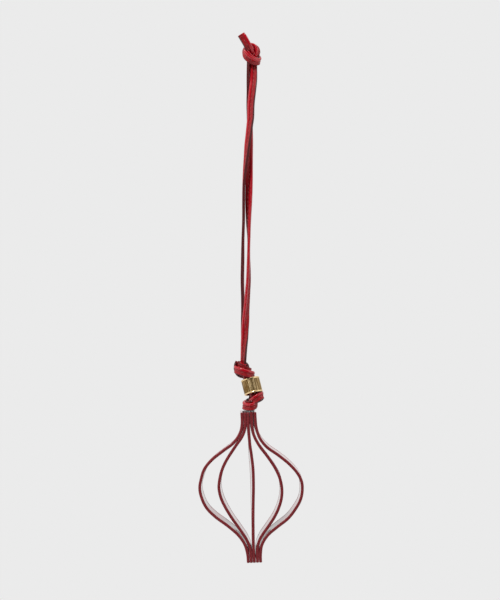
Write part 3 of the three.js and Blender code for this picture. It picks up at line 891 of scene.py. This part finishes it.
# %% Turn and flute the bead
flute_count = 44
points_per_flute = 6
flute_depth = 0.14 * mm
bead_radius = 5.35 * mm
bead_lean = math.radians(14.4)
bead_nod = math.radians(13)
bead_rings = [
    # radius, height, share of the flutes' depth
    (4.35, -3.4, 0), (4.35, -4.2, 0), (4.5, -4.38, 0), (4.95, -4.45, 0), (5.2, -4.38, 0),
    (5.36, -4.2, 0), (5.42, -3.98, 0), (5.37, -3.76, 0), (5.24, -3.6, 0), (5.2, -3.5, 0.6),
    (5.22, -3.2, 1), (5.25, -1.5, 1), (5.26, 0, 1), (5.25, 1.5, 1), (5.22, 3.2, 1),
    (5.2, 3.5, 0.6), (5.24, 3.6, 0), (5.37, 3.76, 0), (5.42, 3.98, 0), (5.36, 4.2, 0),
    (5.2, 4.38, 0), (4.95, 4.45, 0), (4.5, 4.38, 0), (4.35, 4.2, 0), (4.35, 3.4, 0),
]
bead_place = (
    Matrix.Translation(Vector((0.5, 0, -180.2)) * mm)
    @ Matrix.Rotation(-bead_lean, 4, "Y")
    @ Matrix.Rotation(-bead_nod, 4, "X")
)


def shape_ring(ring, place, radius, height, fluted):
    for vert in ring:
        angle = math.atan2(vert.co.y, vert.co.x)
        wave = abs(math.sin(angle * flute_count / 2))
        r = radius * mm - flute_depth * fluted * (1 - wave)
        vert.co = (r * math.cos(angle), r * math.sin(angle), height * mm)
        vert[place] = (angle * bead_radius, 0, height * mm)


def turn_bead():
    bm = new_bmesh()
    place = bm.verts.layers.float_vector.get("strap_place")
    bmesh.ops.create_circle(bm, segments=flute_count * points_per_flute, radius=1)
    edges = first = list(bm.edges)
    shape_ring(bm.verts, place, *bead_rings[0])
    for row in bead_rings[1:]:
        ring, edges = extrude_ring(bm, edges)
        shape_ring(ring, place, *row)
    bmesh.ops.bridge_loops(bm, edges=first + edges)
    bmesh.ops.transform(bm, matrix=bead_place, verts=bm.verts)
    return bm


print("the bead has", flute_count, "flutes and", len(bead_rings), "rings")

# %% [markdown]
# ## Brass
# Polished metal mirrors the studio, tinted by its own colour, so the base colour of a metallic
# shader is the tint. The rims stay bright where hands rub them, and the flutes keep a brown tarnish
# in streaks along the barrel: a noise whose scale along the bead is a twentieth of the others. The
# barrel's left side gets a painted shade in the tarnish colour.

# %% Polish and tarnish the brass
brass_bright = (0.86, 0.64, 0.34)
brass_tarnish_and_shade = (0.20, 0.115, 0.036)

brass, tree, shader = material("bead_brass")
on_bead = place_on_object(tree, bead_place)
right, _, up = split(tree, on_bead)
barrel = ramp(tree, away_from(tree, up, 0), 3.5 * mm, 3.65 * mm, 1, 0)
stretched = tree.nodes.new("ShaderNodeMapping")
stretched.inputs["Scale"].default_value = (1, 1, 0.05)
tree.links.new(on_bead, stretched.inputs["Vector"])
streaks = noise(tree, stretched.outputs["Vector"], 1500, 3, 0.6)
patches = ramp(tree, noise(tree, on_bead, 260, 2), 0.3, 0.7, -0.12, 0.12)
# painted shade: the barrel's left side is darkened with the tarnish colour
shaded_side = ramp(tree, right, -3.2 * mm, -1.4 * mm, 0.45, 0)
tarnish_and_shade = math_node(tree, "ADD", ramp(tree, streaks, 0.32, 0.58, 0.15, 1), patches)
tarnish_and_shade = math_node(tree, "MULTIPLY", barrel, math_node(tree, "ADD", tarnish_and_shade, shaded_side))
tarnish_and_shade = math_node(tree, "MINIMUM", math_node(tree, "MAXIMUM", tarnish_and_shade, 0), 1)
metal = mix_colour(tree, tarnish_and_shade, brass_bright, brass_tarnish_and_shade)
tree.links.new(metal, shader.inputs["Base Color"])
dents = math_node(tree, "MULTIPLY", streaks, barrel)
tree.links.new(bump(tree, dents, 0.4, 0.1 * mm), shader.inputs["Normal"])
rough = math_node(tree, "ADD", 0.16, math_node(tree, "MULTIPLY", barrel, 0.2))
tree.links.new(rough, shader.inputs["Roughness"])
shader.inputs["Metallic"].default_value = 1.0
bead = finish_piece("brass_bead", turn_bead(), [brass], 60)
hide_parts("bead")
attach(bead, "bead")

# %% [markdown]
# ## Floor
# The photograph has no floor in view. A plain pale disc well below the charm keeps its shadow and
# gives the views from above something to look at.

# %% Lay the floor
bpy.ops.mesh.primitive_circle_add(
    vertices=96, radius=0.25, fill_type="NGON", location=(0, 0, -0.42)
)
floor = bpy.context.active_object
floor.name = "pale_floor"
floor_grey, tree, shader = material("floor_grey")
shader.inputs["Base Color"].default_value = (0.7, 0.7, 0.7, 1)
shader.inputs["Roughness"].default_value = 0.8
floor.data.materials.append(floor_grey)
print("laid", floor.name)

# %% [markdown]
# ## Light and background
# The photograph shows the charm against one even pale grey, and the world gives the camera exactly
# that grey. For everything else it is a soft studio: bright above, at the sides and behind, calmer
# in front, where the camera and its dark surroundings would stand. Glazed faces that mirror what
# is behind them see the grey too.

# %% Light the world
background_grey = 0.8308
dim_front, bright_sides, soft_back = 0.03, 1.2, 0.9

world = bpy.data.worlds.new("soft_studio")
bpy.context.scene.world = world
world.use_nodes = True
tree = world.node_tree
tree.nodes.clear()
sideways, backwards, up = split(tree, tree.nodes.new("ShaderNodeTexCoord").outputs["Generated"])
sides = ramp(tree, away_from(tree, sideways, 0), 0.52, 0.88)
below = ramp(tree, up, -0.8, -0.45, 1, 0)
above = ramp(tree, up, 0.5, 0.85, 0, 0.8)
around = math_node(tree, "MAXIMUM", sides, math_node(tree, "MAXIMUM", above, below))
around = ramp(tree, around, 0, 1, dim_front, bright_sides)
behind = ramp(tree, backwards, -0.15, 0.2)
around = mix_value(tree, behind, around, soft_back)
rays = tree.nodes.new("ShaderNodeLightPath").outputs
mirrored = math_node(tree, "MAXIMUM", rays["Is Glossy Ray"], rays["Is Transmission Ray"])
mirrored = math_node(tree, "MULTIPLY", mirrored, behind)
shown = math_node(tree, "MAXIMUM", mirrored, rays["Is Camera Ray"])
studio = tree.nodes.new("ShaderNodeBackground")
studio.inputs["Color"].default_value = (1, 1, 1, 1)
tree.links.new(mix_value(tree, shown, around, background_grey), studio.inputs["Strength"])
world_output = tree.nodes.new("ShaderNodeOutputWorld")
tree.links.new(studio.outputs[0], world_output.inputs["Surface"])
print("background", background_grey)

# %% [markdown]
# Soft light alone leaves leather dull. A small, strong lamp high on the left draws the bright line
# along each fold and the spark on the bead, and a tall, weak one beside the camera lifts the front
# edges of the strips.

# %% Hang the lamps
charm_middle = (0, 0, -0.15)


def soft_box(name, place, size, power):
    data = bpy.data.lights.new(name, "AREA")
    data.shape = "RECTANGLE"
    data.size, data.size_y = size
    data.energy = power
    lamp = bpy.data.objects.new(name, data)
    lamp.location = place
    towards = Vector(charm_middle) - Vector(place)
    lamp.rotation_euler = towards.to_track_quat("-Z", "Y").to_euler()
    bpy.context.scene.collection.objects.link(lamp)
    print(name, "gives", power, "W")


soft_box("key_box", place=(-0.2, -0.4, 0.55), size=(0.1, 0.1), power=4.2)
soft_box("tall_box", place=(-0.36, -0.5, -0.12), size=(0.07, 0.6), power=0.3)
bpy.context.scene.view_settings.view_transform = "Standard"
